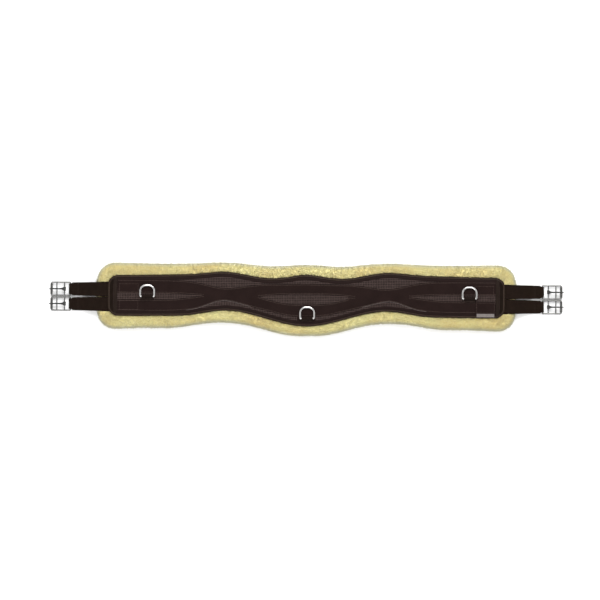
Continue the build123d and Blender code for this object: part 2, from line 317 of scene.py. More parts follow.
def weave_group():
    """Threads over and under: two crossing sets of waves, with their own pitches."""
    group, source, result = new_group(
        "Weave",
        [("Place", VECTOR, None), ("Pitch along", VALUE, 0.001), ("Pitch across", VALUE, 0.001)],
        [("Height", VALUE)])
    parts = add(group, "ShaderNodeSeparateXYZ", {0: source.outputs["Place"]})
    waves = []
    for axis, pitch in (("X", "Pitch along"), ("Y", "Pitch across")):
        turns = maths(group, "DIVIDE", parts.outputs[axis], source.outputs[pitch])
        waves.append(maths(group, "SINE", maths(group, "MULTIPLY", turns, 2 * np.pi)))
    height = maths(group, "MULTIPLY_ADD", maths(group, "MULTIPLY", *waves), 0.5, 0.5)
    group.links.new(height, result.inputs["Height"])
    return group


def holes_group():
    """Round holes in a square net: 0 in a hole and 1 on a thread, and the net's rounded height."""
    group, source, result = new_group(
        "Holes", [("Place", VECTOR, None), ("Pitch", VALUE, 0.004), ("Radius", VALUE, 0.3)],
        [("Mask", VALUE), ("Height", VALUE)])
    parts = add(group, "ShaderNodeSeparateXYZ", {0: source.outputs["Place"]})
    squares = []
    for axis in ("X", "Y"):
        cells = maths(group, "DIVIDE", parts.outputs[axis], source.outputs["Pitch"])
        centred = maths(group, "SUBTRACT", maths(group, "FRACT", cells), 0.5)
        squares.append(maths(group, "POWER", centred, 2.0))
    away = maths(group, "SQRT", maths(group, "ADD", *squares))
    ratio = maths(group, "DIVIDE", away, source.outputs["Radius"])
    mask = add(group, "ShaderNodeMapRange", {0: ratio, 1: 0.75, 2: 1.1})
    height = add(group, "ShaderNodeMapRange", {0: ratio, 1: 0.4, 2: 1.7})
    group.links.new(mask.outputs[0], result.inputs["Mask"])
    group.links.new(height.outputs[0], result.inputs["Height"])
    return group


def grain_group():
    """Fine pebbled relief of leather or brushed microfibre."""
    group, source, result = new_group(
        "Grain", [("Place", VECTOR, None), ("Scale", VALUE, 700.0)], [("Height", VALUE)])
    cells = add(group, "ShaderNodeTexVoronoi",
                {"Vector": source.outputs["Place"], "Scale": source.outputs["Scale"]})
    fine = add(group, "ShaderNodeTexNoise",
               {"Vector": source.outputs["Place"], "Scale": 2600.0, "Detail": 3.0})
    height = maths(group, "ADD", cells.outputs["Distance"], fine.outputs["Fac"])
    group.links.new(height, result.inputs["Height"])
    return group


MOTTLE, WEAVE, HOLES, GRAIN = mottle_group(), weave_group(), holes_group(), grain_group()
print("effects:", [group.name for group in (MOTTLE, WEAVE, HOLES, GRAIN)])


# %% [markdown]
# ## Finishes
# Most of these are one idea with different numbers: a colour that wanders between two shades, and the
# relief of a shared effect. So one function makes them, and a call says what is special about each.
# Dark cloth has a low specular level, because a bright room mirrored in it would turn a nearly black
# brown into grey.

# %% Material helpers
class Finish:
    """A material with its shader, its object coordinates and the means to add effects."""

    def __init__(self, name, roughness, metallic=0.0, specular=0.05):
        self.material = bpy.data.materials.new(name)
        self.material.use_nodes = True
        self.tree = self.material.node_tree
        self.shader = self.tree.nodes["Principled BSDF"]
        self.shader.inputs["Roughness"].default_value = roughness
        self.shader.inputs["Metallic"].default_value = metallic
        self.shader.inputs["Specular IOR Level"].default_value = specular
        self.place = add(self.tree, "ShaderNodeTexCoord").outputs["Object"]

    def effect(self, group, **values):
        """Places a shared effect; a name's underscores stand for spaces."""
        node = add(self.tree, "ShaderNodeGroup", node_tree=group)
        self.tree.links.new(self.place, node.inputs["Place"])
        for key, value in values.items():
            node.inputs[key.replace("_", " ")].default_value = value
        return node

    def colour(self, socket):
        self.tree.links.new(socket, self.shader.inputs["Base Color"])

    def rough(self, mask, low, high):
        spread = add(self.tree, "ShaderNodeMapRange", {0: mask, 3: low, 4: high})
        self.tree.links.new(spread.outputs[0], self.shader.inputs["Roughness"])

    def relief(self, height, depth, strength=1.0):
        bump = add(self.tree, "ShaderNodeBump", {"Strength": strength, "Distance": depth})
        self.tree.links.new(height, bump.inputs["Height"])
        self.tree.links.new(bump.outputs[0], self.shader.inputs["Normal"])

    def sheen(self, weight, roughness, tint):
        self.shader.inputs["Sheen Weight"].default_value = weight
        self.shader.inputs["Sheen Roughness"].default_value = roughness
        self.shader.inputs["Sheen Tint"].default_value = (*tint, 1)

    def darken(self, colour, mask, amount):
        """A colour made darker where a mask is low."""
        mix = add(self.tree, "ShaderNodeMix", {"Factor": amount, 6: colour, 7: mask},
                  data_type="RGBA", blend_type="MULTIPLY")
        return mix.outputs[2]


def mottled(name, roughness, scale, dark, light, effect=None, depth=0.0, strength=0.0, gloss=None,
            metallic=0.0, specular=0.05, **sizes):
    """A finish whose colour wanders between two shades, with the relief of a shared effect at its own
    sizes. Gloss is a range of roughness that wanders with the colour."""
    finish = Finish(name, roughness, metallic, specular)
    shade = finish.effect(MOTTLE, Scale=scale, Dark=(*dark, 1), Light=(*light, 1))
    finish.colour(shade.outputs["Color"])
    if effect:
        finish.relief(finish.effect(effect, **sizes).outputs["Height"], depth, strength)
    if gloss:
        finish.rough(shade.outputs["Value"], *gloss)
    return finish.material


# %% Cloth, leather, thread and steel
def woven(name, dark, light, roughness=0.7):
    """Woven binding or tape: fine threads both ways."""
    return mottled(name, roughness, 150.0, dark, light, WEAVE, 0.25 * MM, 0.7,
                   Pitch_along=1.1 * MM, Pitch_across=1.1 * MM)


def leather(name, dark, light):
    """Smooth leather, rubbed a little glossy."""
    return mottled(name, 0.5, 60.0, dark, light, GRAIN, 0.2 * MM, 0.7, gloss=(0.45, 0.6),
                   specular=0.06, Scale=550.0)


def thread(name, dark, light):
    """Twisted thread, so thin that its colour is all that shows."""
    return mottled(name, 0.55, 400.0, dark, light)


def steel(name, dark, light):
    """Polished steel with faint rubbing marks."""
    return mottled(name, 0.2, 250.0, dark, light, GRAIN, 0.03 * MM, 0.4, gloss=(0.14, 0.28),
                   metallic=1.0, specular=0.5, Scale=400.0)


MICROFIBRE = mottled("brown microfibre", 0.62, 35.0, (0.0086, 0.0042, 0.0036),
                     (0.0118, 0.0060, 0.0052), GRAIN, 0.12 * MM, 0.6, gloss=(0.56, 0.68), Scale=900.0)
BINDING = woven("dark brown binding", (0.0165, 0.0105, 0.0072), (0.0270, 0.0180, 0.0125))
TAB_WEB = woven("dark brown tab", (0.0060, 0.0032, 0.0022), (0.0100, 0.0058, 0.0044))
ELASTIC = mottled("dark brown elastic", 0.72, 90.0, (0.0064, 0.0032, 0.0018),
                  (0.0094, 0.0050, 0.0031), WEAVE, 0.2 * MM, 0.6,
                  Pitch_along=0.8 * MM, Pitch_across=2.0 * MM)
WELT = leather("brown welt leather", (0.0098, 0.0058, 0.0042), (0.0140, 0.0086, 0.0064))
CAP = leather("dark cap leather", (0.0045, 0.0020, 0.0008), (0.0068, 0.0034, 0.0018))
THREAD = thread("brown thread", (0.055, 0.038, 0.032), (0.090, 0.065, 0.056))
# Painted highlight: this pale thread only draws the light on the lower border's edge at the waists.
HIGHLIGHT_THREAD = thread("pale seam thread", (0.090, 0.073, 0.068), (0.140, 0.117, 0.110))
DARK_THREAD = thread("dark thread", (0.016, 0.010, 0.008), (0.028, 0.019, 0.015))
STRIP = mottled("grey satin strip", 0.45, 300.0, (0.110, 0.096, 0.090), (0.190, 0.170, 0.162), WEAVE,
                0.2 * MM, 0.7, Pitch_along=0.6 * MM, Pitch_across=0.9 * MM)
BRIGHT_STEEL = steel("bright nickelled steel", (0.48, 0.47, 0.46), (0.64, 0.63, 0.62))
# Painted shade: the buckles take a much darker copy of the rings' steel, standing for shade and dark
# reflections on their thin wires.
SHADED_BUCKLE_STEEL = steel("grey buckle steel", (0.10, 0.099, 0.097), (0.17, 0.168, 0.164))
print("finishes:", len(bpy.data.materials))


# %% Air mesh and wool
def mesh_finish():
    """Air mesh: a knitted net with holes every few millimetres, greyer than the overlay."""
    finish = Finish("brown air mesh", 0.8)
    shade = finish.effect(MOTTLE, Scale=120.0, Dark=(0.037, 0.0245, 0.0220, 1),
                          Light=(0.056, 0.0385, 0.0350, 1))
    holes = finish.effect(HOLES, Pitch=4 * MM, Radius=0.38)
    finish.colour(finish.darken(shade.outputs["Color"], holes.outputs["Mask"], 0.95))
    finish.relief(holes.outputs["Height"], 0.9 * MM, 0.8)
    return finish.material


def wool_finish():
    """Merino wool: straw-coloured in paler and deeper patches, with painted shade that darkens the roots
    of the locks and the low mat between them, and greyer at the outer fringe."""
    finish = Finish("straw wool", 0.9)
    tree = finish.tree
    patches = finish.effect(MOTTLE, Scale=11.0, Dark=(0.690, 0.580, 0.270, 1),
                            Light=(0.735, 0.700, 0.365, 1)).outputs["Color"]
    # Painted shade: the colour is multiplied darker where the shade attribute is low, at the locks' roots
    # and on the mat.
    root = add(tree, "ShaderNodeMix", {"Factor": 1.0, 6: patches, 7: (0.86, 0.83, 0.76, 1)},
               data_type="RGBA", blend_type="MULTIPLY")
    tips = add(tree, "ShaderNodeAttribute", attribute_name="shade")
    painted_root_shade = add(tree, "ShaderNodeMix",
               {"Factor": tips.outputs["Fac"], 6: root.outputs[2], 7: patches}, data_type="RGBA")
    fringe = add(tree, "ShaderNodeAttribute", attribute_name="fringe")
    grey = add(tree, "ShaderNodeMix",
               {"Factor": fringe.outputs["Fac"], 6: painted_root_shade.outputs[2], 7: (0.50, 0.49, 0.37, 1)},
               data_type="RGBA")
    finish.colour(grey.outputs[2])
    fibres = add(tree, "ShaderNodeTexNoise",
                 {"Vector": finish.place, "Scale": 900.0, "Detail": 4.0, "Distortion": 1.5})
    finish.relief(fibres.outputs["Fac"], 0.6 * MM, 0.7)
    finish.sheen(0.35, 0.4, (1.0, 0.95, 0.80))
    return finish.material


AIR_MESH = mesh_finish()
WOOL = wool_finish()
print("finishes:", len(bpy.data.materials))

# %% [markdown]
# ## Mesh layer and foam
# The mesh is the skin of the padding, so it and the foam are one closed, crowned cushion here. It is
# a grid of columns along the girth, each running from the lower edge to the upper one. Columns crowd
# together at the ends, where the outline turns, and rows crowd at both edges, where the top rolls.

# %% Columns across the body
def split_outline(line):
    """Lower and upper long edges of a closed outline as functions of x, and its reach in x."""
    lower = line[line[:, 1] <= MIDLINE]
    upper = line[line[:, 1] > MIDLINE]
    lower = lower[np.argsort(lower[:, 0])]
    upper = upper[np.argsort(upper[:, 0])]
    reach = np.abs(line[:, 0]).max()
    return (lambda x: np.interp(x, *lower.T)), (lambda x: np.interp(x, *upper.T)), reach


def end_crowding(reach, corner, count_middle=300, count_corner=26):
    """Even columns between the corners, and columns at even turns of each corner's arc."""
    middle = np.linspace(-(reach - corner), reach - corner, count_middle)
    turn = np.linspace(0, np.pi / 2, count_corner)[1:]
    arc = (reach - corner) + corner * np.sin(turn)
    return np.concatenate([-arc[::-1], middle, arc])


def edge_rows(count, power=1.6):
    """Rows from 0 to 1, crowding at both edges."""
    s = np.linspace(-1, 1, count)
    return 0.5 + 0.5 * np.sign(s) * (1 - (1 - np.abs(s)) ** power)


def columns_between(xs, low, high, rows):
    """A grid of places: columns at xs, each with its rows from one edge function to the other."""
    x = np.repeat(xs[:, None], len(rows), 1)
    return x, low(x) + (high(x) - low(x)) * rows


def closed_slab(top, bottom, n_u, n_v):
    """Faces of a slab with an upper and a lower grid, joined round their edges."""
    n = n_u * n_v
    upper = grid_quads(n_u, n_v)
    lower = grid_quads(n_u, n_v, start=n, flip=True)
    ring = np.concatenate([np.arange(n_u) * n_v, (n_u - 1) * n_v + np.arange(1, n_v),
                           np.arange(n_u - 2, -1, -1) * n_v + n_v - 1, np.arange(n_v - 2, 0, -1)])
    after = np.roll(ring, -1)
    side = np.stack([ring, ring + n, after + n, after], -1)
    return np.vstack([top, bottom]), np.vstack([upper, lower, side])


# %% The cushion
MESH_SWELL = 0.55 * MM                 # how far the mesh swells up between the overlay's edges
TUCK = 4.3 * MM                        # how far inside the bound edge the cushion ends
GROOVE = 1.3 * MM                      # depth and width of the groove beside the binding
CUSHION_FLOOR = box("inner_lining")[1][2] + 0.1 * MM
low_edge, high_edge, reach = split_outline(moved_in(body_outline, TUCK))
cushion_x = end_crowding(reach - 0.05 * MM, 22 * MM)
cushion_rows = edge_rows(56)
X, Y = columns_between(cushion_x, low_edge, high_edge, cushion_rows)
to_edge = distance_to(places(X, Y), body_outline).reshape(X.shape)
groove = GROOVE * np.exp(-np.clip(to_edge - TUCK, 0, None) / GROOVE)
Z = top_height(X, Y) - OVERLAY + MESH_SWELL - groove
points, faces = closed_slab(grid_points(X, Y, Z), grid_points(X, Y, np.full_like(X, CUSHION_FLOOR)),
                            len(cushion_x), len(cushion_rows))
cushion = make_piece("mesh_cushion", points, faces, AIR_MESH, replaces=("mesh_panel", "foam_core"),
                     slot="mesh")


# %% [markdown]
# ## Wave overlay
# Two ribbons of microfibre cross at both waists and leave windows over the mesh. In truth it is one
# sheet with windows cut out, and so it is here: each column runs from the lower border to the window,
# and from the window to the upper border. Where there is no window, the two halves share a seam line
# and are merged. The surface turns down near each cut edge, as a stitched edge does.

# %% Borders and windows, read from the frame
LUG_HALF = 22.5 * MM                   # half the overlay's foot under the middle D-ring
LUG_TOP = -46.5 * MM                   # where that foot begins, from the midline
WINDOW_BAND = (-16.5 * MM, 9.5 * MM)   # windows lie between these, from the midline
CROSSING = (118 * MM, 249 * MM)        # where the two ribbons cross, from the girth's middle
TIP_HEIGHTS = (2 * MM, 4 * MM)         # the windows' tips by the crossing, from the midline
BORDERS = (-6 * MM, 17 * MM)           # below and above these are the outer borders, from the midline
HAIR = 0.01 * MM                       # a distance too small to matter
overlay_points = np.unique(np.round(node_points("wave_overlay")[:, :2], 6), axis=0)
outer_y = overlay_points[:, 1] - MIDLINE
overlay_x = overlay_points[:, 0]
in_lug = (np.abs(overlay_x) < LUG_HALF) & (outer_y < LUG_TOP)
is_window = (outer_y > WINDOW_BAND[0]) & (outer_y < WINDOW_BAND[1])
is_window &= (np.abs(overlay_x) < CROSSING[0]) | (np.abs(overlay_x) > CROSSING[1])
tips = np.abs(overlay_x[is_window])
WINDOW_TIPS = (tips[tips < CROSSING[0]].max(), tips[tips > CROSSING[1]].min())


def line_of(mask):
    """A single-valued line through chosen border points, as sorted x and y."""
    x, y = overlay_points[mask].T
    order = np.argsort(x)
    return x[order], y[order]


upper_border = line_of(~is_window & (outer_y > BORDERS[1]))
lower_border = line_of(~is_window & (outer_y < BORDERS[0]) & ~in_lug)
window_high = line_of(is_window & (outer_y > TIP_HEIGHTS[0] - HAIR))
window_low = line_of(is_window & (outer_y < TIP_HEIGHTS[1] + HAIR))


def smooth_along(x, line, width=2.5 * MM):
    """A border's height at places x, lightly smoothed."""
    offsets = np.linspace(-1.5, 1.5, 7) * width
    weights = np.exp(-0.5 * (offsets / width) ** 2)
    values = sum(w * np.interp(x + o, *line) for w, o in zip(weights, offsets))
    return values / weights.sum()


overlay_end = np.abs(overlay_x).max()
beside_end = np.array([0.4, 0.9]) * MM
tip_columns = np.array([-1, 1])[:, None] * np.array(WINDOW_TIPS)
sheet_x = np.unique(np.round(np.concatenate([
    np.linspace(-overlay_end, overlay_end, 380), tip_columns.ravel(), overlay_end - beside_end,
    -overlay_end + beside_end]), 7))
opened = (np.abs(sheet_x) < WINDOW_TIPS[0]) | (np.abs(sheet_x) > WINDOW_TIPS[1])
centre_line = np.interp(np.abs(sheet_x), WINDOW_TIPS, MIDLINE + np.array(TIP_HEIGHTS))
low_window = np.where(opened, np.interp(sheet_x, *window_low), centre_line)
high_window = np.where(opened, np.interp(sheet_x, *window_high), centre_line)
low_border, high_border = smooth_along(sheet_x, lower_border), smooth_along(sheet_x, upper_border)
print("window tips", [round(float(t), 4) for t in WINDOW_TIPS], "columns", len(sheet_x))


# %% The sheet's cut edges
def window_edges():
    """The lower and the upper edge of each window, as pairs of lines of places."""
    parts = (np.abs(sheet_x) <= WINDOW_TIPS[0], sheet_x >= WINDOW_TIPS[1], sheet_x <= -WINDOW_TIPS[1])
    return [(places(sheet_x[part], low_window[part]), places(sheet_x[part], high_window[part]))
            for part in parts]


WINDOWS = window_edges()
low_line, high_line = places(sheet_x, low_border), places(sheet_x, high_border)
cut_edges = [low_line, high_line] + [line for pair in WINDOWS for line in pair]
for end_x in (-overlay_end, overlay_end):
    cut_edges.append(np.array([[end_x, low_border[0]], [end_x, low_window[0]]]))
    cut_edges.append(np.array([[end_x, high_window[0]], [end_x, high_border[0]]]))
print("cut edges", len(cut_edges))

# %% The sheet, turned down at its cut edges
TURNED = 1.3 * MM                      # width of the turned edge
TURN_DEPTH = 0.75 * MM                 # how far that edge goes down
SEAM_INSET = 2.6 * MM                  # the stitching's distance from a cut edge
SEAM_WIDTH = 0.9 * MM                  # width of the furrow that the stitching pulls in
SEAM_DEPTH = 0.40 * MM                 # and its depth
SHEET_LIFT = 0.35 * MM                 # the sheet's height over the crowned surface
sheet_rows = edge_rows(24, 2.2)
lower_half = low_border[:, None] + (low_window - low_border)[:, None] * sheet_rows
upper_half = high_window[:, None] + (high_border - high_window)[:, None] * sheet_rows
halves = np.stack([lower_half, upper_half])
flat = places(np.broadcast_to(sheet_x[:, None], halves.shape), halves)
from_edge = np.min([distance_to(flat, line, closed=False) for line in cut_edges], 0)
turn = np.clip(1 - from_edge / TURNED, 0, 1)
seam = np.exp(-((from_edge - SEAM_INSET) / SEAM_WIDTH) ** 2)
Z = top_height(flat[:, 0], flat[:, 1]) + SHEET_LIFT
Z -= TURN_DEPTH * (1 - np.sqrt(1 - turn ** 2)) + SEAM_DEPTH * seam
faces = np.vstack([grid_quads(*lower_half.shape),
                   grid_quads(*lower_half.shape, start=lower_half.size)])
overlay = make_piece("wave_overlay_sheet", np.column_stack([flat, Z]), faces, MICROFIBRE,
                     replaces=("wave_overlay",), slot="overlay")
weld = overlay.modifiers.new("weld", "WELD")
weld.merge_threshold = HAIR
solid = overlay.modifiers.new("thickness", "SOLIDIFY")
solid.thickness = OVERLAY
solid.offset = -1


# %% [markdown]
# ## Pieces that lie on the top
# Caps, welts, the patch and the foot under the middle ring are small sheets on the same surface. One
# function makes them: a grid between two lines, raised by a given amount, with its edges turned down.

# %% Sheets on the surface
def lying_sheet(name, x0, x1, low, high, lift, thickness, material, crown=0.0, columns=24, lines=40,
                **place):
    """A closed sheet between x0 and x1 and between two edge functions; crown makes it bulge."""
    u = 0.5 - 0.5 * np.cos(np.linspace(0, np.pi, columns))
    v = 0.5 - 0.5 * np.cos(np.linspace(0, np.pi, lines))
    X, Y = columns_between(x0 + (x1 - x0) * u, low, high, v)
    border = np.minimum.reduce([X - x0, x1 - X, Y - low(X), high(X) - Y])
    rim = np.clip(1 - border / thickness, 0, 1)
    across = np.clip(2 * (X - x0) / (x1 - x0) - 1, -1, 1)
    base = top_height(X, Y) + lift
    Z = base + thickness * np.sqrt(1 - rim ** 2) * 0.9 + crown * (1 - across ** 2)
    points, faces = closed_slab(grid_points(X, Y, Z), grid_points(X, Y, base - 0.1 * MM),
                                columns, lines)
    return make_piece(name, points, faces, material, **place)


LEATHERS = (("end_welt", WELT, 1.5 * MM, 1.1 * MM), ("end_cap", CAP, 0.9 * MM, 0.2 * MM))
LEATHER_INSET = 4.6 * MM               # the binding's lip covers them this far in from the edge
lip_low, lip_high, lip_reach = split_outline(moved_in(body_outline, LEATHER_INSET))
for side, sign in (("left", -1), ("right", 1)):
    for kind, material, thickness, crown in LEATHERS:
        low, high = box(f"{kind}_{side}")
        edges = sorted((low[0], high[0]), key=abs)
        if kind == "end_cap":
            edges[1] = sign * lip_reach
        lying_sheet(f"{kind}_{side}_sheet", min(edges), max(edges), lip_low, lip_high,
                    -0.4 * MM, thickness, material, crown, replaces=(f"{kind}_{side}",),
                    slot="end_leather")

patch_low, patch_high = box("label_patch")
strip_low, strip_high = box("label_strip")


def level(value):
    """An edge function that stays at one y."""
    return lambda x: np.full(np.shape(x), value)


# %% Patch, strip and foot
FOOT_TOP = MIDLINE - 43 * MM
for name, low, high, lift, thickness, material, part in (
        ("label_patch", patch_low, patch_high, 0.3 * MM, 1.0 * MM, MICROFIBRE, "overlay"),
        ("label_strip", strip_low, strip_high, 1.1 * MM, 0.6 * MM, STRIP, "strip")):
    lying_sheet(f"{name}_sheet", low[0], high[0], level(low[1]), level(high[1]), lift, thickness,
                material, replaces=(name,), slot=part)
lying_sheet("ring_foot_sheet", -LUG_HALF, LUG_HALF, lip_low, level(FOOT_TOP), -0.2 * MM, 0.8 * MM,
            MICROFIBRE, slot="overlay")

# %% [markdown]
# ## Bound edge
# A strip of cloth folded over the edge holds the layers together. It is one profile, an ellipse with
# a short lip on top and below, carried round the whole outline. Inside it a smooth margin of the
# overlay's cloth runs all round, so the mesh shows only where overlay and margin part.

# %% Bands round the outline
around = resample(body_outline, 2 * MM, closed=True)
out = outward(around)


def inset_places(insets):
    """Places at given distances inside the outline, one row for each of its points."""
    return around[:, None, :] - insets[None, :, None] * out[:, None, :]


def band(name, flat, heights, material, flip=False, **place):
    """A closed profile carried round the outline, from its places and its heights."""
    points = np.concatenate([flat, heights[..., None]], -1).reshape(-1, 3)
    faces = grid_quads(*heights.shape, close_u=True, close_v=True, flip=flip)
    return make_piece(name, points, faces, material, **place)


# %% Binding
LIP = 5.2 * MM                         # how far the binding reaches in over the top
EDGE_DEPTH = 4.3 * MM                  # from the outermost point in to the roll's crest
STITCH_PITCH = 3.4 * MM
low_z = box("edge_binding")[0][2] + 0.2 * MM
lip_z = top_height(*(around - LIP * out).T)
crest_z = top_height(*(around - EDGE_DEPTH * out).T) + 0.55 * MM
angle = np.linspace(-np.pi / 2, np.pi / 2, 15)
insets = np.concatenate([[LIP + 0.2 * MM, LIP], EDGE_DEPTH * (1 - np.cos(angle)),
                         [LIP - 0.2 * MM, LIP + 0.1 * MM, LIP + 0.2 * MM]])
middle_z, half_z = (crest_z + low_z) / 2, (crest_z - low_z) / 2
heights = np.concatenate([
    np.full((len(around), 2), low_z),
    middle_z[:, None] + half_z[:, None] * np.sin(angle),
    np.stack([lip_z + 0.35 * MM, lip_z - 0.1 * MM, lip_z - 0.9 * MM], 1)], 1)
pucker = 0.12 * MM * np.sin(np.arange(len(around)) * 2 * MM / STITCH_PITCH * 2 * np.pi)
swell = pucker[:, None] * np.sin(np.linspace(0, np.pi, len(insets)))
band("edge_binding_strip", inset_places(insets) + swell[:, :, None] * out[:, None, :], heights,
     BINDING, replaces=("edge_binding",), slot="binding")

# %% Margin inside the binding
# Its profile: distances inside the outline, and heights over the top, round to its own underside.
MARGIN_INSETS = np.array([5.4, 6.2, 9.5, 12.4, 13.0, 13.0, 9.5, 5.4]) * MM
MARGIN_LIFTS = np.array([-0.9, -0.2, 0.05, -0.05, -0.5, -1.2, -1.2, -1.2]) * MM
flat = inset_places(MARGIN_INSETS)
band("edge_margin_strip", flat, top_height(flat[..., 0], flat[..., 1]) + MARGIN_LIFTS, MICROFIBRE,
     flip=True, slot="overlay")


# %% [markdown]
# ## Stitching
# A stitch is a short thread that dips in at both ends. A template of a few dozen faces is laid at even
# steps along a seam, turned to its direction, all at once as arrays.

# %% Rows of stitches
def stitch_template(length, radius, sides=6, rings=5):
    """A spindle along X, sunk at both ends."""
    t = np.linspace(-1, 1, rings)
    angle = np.arange(sides) / sides * 2 * np.pi
    size = radius * np.sqrt(np.clip(1 - (0.92 * t) ** 2, 0, 1))
    x = np.repeat(t[:, None] * length / 2, sides, 1)
    y = size[:, None] * np.cos(angle)
    z = size[:, None] * np.sin(angle) - radius * 0.9 * t[:, None] ** 2
    return grid_points(x, y, z), tube_faces(rings, sides, flip=True)


def stitch_rows(name, lines, lift, length=2.5 * MM, radius=0.32 * MM, material=THREAD, body="root"):
    """Stitches along lines of points; lift is their height over the top, or each line has its z."""
    shape, faces = stitch_template(length, radius)
    all_points, all_faces, start = [], [], 0
    for line in lines:
        line = resample(line, STITCH_PITCH)
        along = unit(np.gradient(line[:, :2], axis=0))
        beside = np.stack([-along[:, 1], along[:, 0]], 1)
        z = line[:, 2] if line.shape[1] == 3 else top_height(line[:, 0], line[:, 1]) + lift
        flat = (line[:, None, :2] + shape[None, :, :1] * along[:, None]
                + shape[None, :, 1:2] * beside[:, None])
        height = z[:, None] + shape[None, :, 2]
        all_points.append(np.concatenate([flat, height[..., None]], -1).reshape(-1, 3))
        for n in range(len(line)):
            offset = start + n * len(shape)
            all_faces += [[i + offset for i in face] for face in faces]
        start += len(line) * len(shape)
    return make_piece(name, np.vstack(all_points), all_faces, material, body=body, slot="overlay")


# %% Seams on the overlay and the binding
BINDING_SEAM = 3.9 * MM                # the binding's stitching, inside the bound edge
# Painted highlight: a row of pale stitches here stands for the light on the lower border's raised edge.
WAIST_HIGHLIGHT = (135 * MM, 290 * MM)      # where the lower border turns up to the light
seams = [moved_in(low_line, SEAM_INSET, closed=False), moved_in(high_line, -SEAM_INSET, closed=False)]
for window_low_line, window_high_line in WINDOWS:
    seams.append(moved_in(window_low_line, -SEAM_INSET, closed=False))
    seams.append(moved_in(window_high_line, SEAM_INSET, closed=False))
stitch_rows("overlay_stitching", seams, 0.20 * MM, radius=0.40 * MM)
binding_seam = moved_in(body_outline, BINDING_SEAM)
stitch_rows("binding_stitching", [np.vstack([binding_seam, binding_seam[:1]])], 0.75 * MM)
# These pale stitches are a painted highlight along the border's lit edge.
for side, sign in (("left", -1), ("right", 1)):
    at_waist = (sign * sheet_x > WAIST_HIGHLIGHT[0]) & (sign * sheet_x < WAIST_HIGHLIGHT[1])
    stitch_rows(f"waist_highlight_{side}", [moved_in(low_line[at_waist], 0.5 * MM, closed=False)],
                0.35 * MM, length=3.1 * MM, radius=0.62 * MM, material=HIGHLIGHT_THREAD)


# %% Seams on the straps' tails and the patch
def rectangle_line(x0, x1, y0, y1):
    """The four sides of a stitched rectangle."""
    corners = np.array([[x0, y0], [x1, y0], [x1, y1], [x0, y1], [x0, y0]])
    return [resample(corners[i:i + 2], 1 * MM) for i in range(4)]


STRAP_PITCH = abs(hinge_at["buckle_hinge_left_upper"][1] - hinge_at["buckle_hinge_left_lower"][1])
TAIL = (408 * MM, 453 * MM)            # where the straps' sewn tails begin and end, from the middle
TAIL_INNER, TAIL_OUTER = 8.5 * MM, 13 * MM         # and how far to each side of its middle
PATCH_INSET = 2.2 * MM
tail_stitches = []
for sign, row in ((-1, -1), (-1, 1), (1, 1)):      # the patch covers the fourth tail
    y = MIDLINE + row * STRAP_PITCH / 2
    inner, outer = y - row * TAIL_INNER, y + row * TAIL_OUTER
    tail_stitches += rectangle_line(*sorted((sign * TAIL[0], sign * TAIL[1])), *sorted((inner, outer)))
stitch_rows("strap_tail_stitching", tail_stitches, 0.42 * MM)
patch_seam = rectangle_line(patch_low[0] + PATCH_INSET, patch_high[0] - PATCH_INSET,
                            strip_high[1] + PATCH_INSET, patch_high[1] - PATCH_INSET)
stitch_rows("patch_stitching", patch_seam, 1.25 * MM)


# %% [markdown]
# ## Webbing
# Straps and tabs are flat webbings that follow a path seen from the side. The section is a flat loop
# with ribs, and the ribbon is that section carried along the path. The elastic of a strap goes over
# the wool, round the buckle's bar and back under itself in one piece.

# %% Ribbon along a side path
def ribbon(path, half_width, thickness, ribs, rib_height, samples=4):
    """Points (along, across, up) and faces of a ribbed webbing; path is seen from the side."""
    across_top = np.linspace(-1, 1, ribs * samples + 1)
    wave = rib_height * np.cos(across_top * ribs * np.pi)
    edge = np.sqrt(np.clip(1 - np.abs(across_top) ** 16, 0, 1))
    up_top = (thickness / 2 + wave) * edge
    across = np.concatenate([across_top, across_top[::-1][1:-1]])
    up = np.concatenate([up_top, -up_top[::-1][1:-1]])
    run = unit(np.gradient(path, axis=0))
    normal = np.stack([-run[:, 1], run[:, 0]], 1)
    along = path[:, None, 0] + up[None] * normal[:, None, 0]
    height = path[:, None, 1] + up[None] * normal[:, None, 1]
    return grid_points(along, half_width[:, None] * across[None], height), tube_faces(*along.shape)


def rounded(path, rounds=3):
    """Rounds a line's corners by cutting them, again and again; its ends stay."""
    for _ in range(rounds):
        a, b = path[:-1], path[1:]
        cut = np.stack([0.75 * a + 0.25 * b, 0.25 * a + 0.75 * b], 1).reshape(-1, 2)
        path = np.vstack([path[:1], cut[1:-1], path[-1:]])
    return path


# %% Elastic straps
ELASTIC_THICKNESS = 1.9 * MM
BAR_BEND = 3.05 * MM                   # radius of the webbing's middle where it turns round the bar
FOLD_END = 22 * MM                     # how far the webbing comes back from the bar
SEAM_HALF = 13.5 * MM                  # half the length of the two seams that hold the fold


def strap_path(bar_x, bar_z, body_x, high_z, low_z):
    """A strap seen from the side: level out of the body, down to the ground, up and round the
    buckle's bar, and back under itself."""
    drop = rounded(np.array([
        [body_x - 22 * MM, high_z], [body_x + 8 * MM, high_z], [body_x + 20 * MM, high_z - 0.5 * MM],
        [bar_x - 30 * MM, low_z + 0.6 * MM], [bar_x - 22 * MM, low_z], [bar_x - 11 * MM, low_z],
        [bar_x - 6 * MM, low_z + 1.8 * MM], [bar_x - 3.4 * MM, bar_z + 2.75 * MM]]))
    turn = np.linspace(np.radians(118), np.radians(-90), 14)
    fold = np.stack([bar_x + BAR_BEND * np.cos(turn), bar_z + BAR_BEND * np.sin(turn)], 1)
    back = np.array([[bar_x - 3 * MM, bar_z - BAR_BEND], [bar_x - FOLD_END, bar_z - BAR_BEND]])
    return resample(np.vstack([drop[:-1], fold, back]), 1.6 * MM)


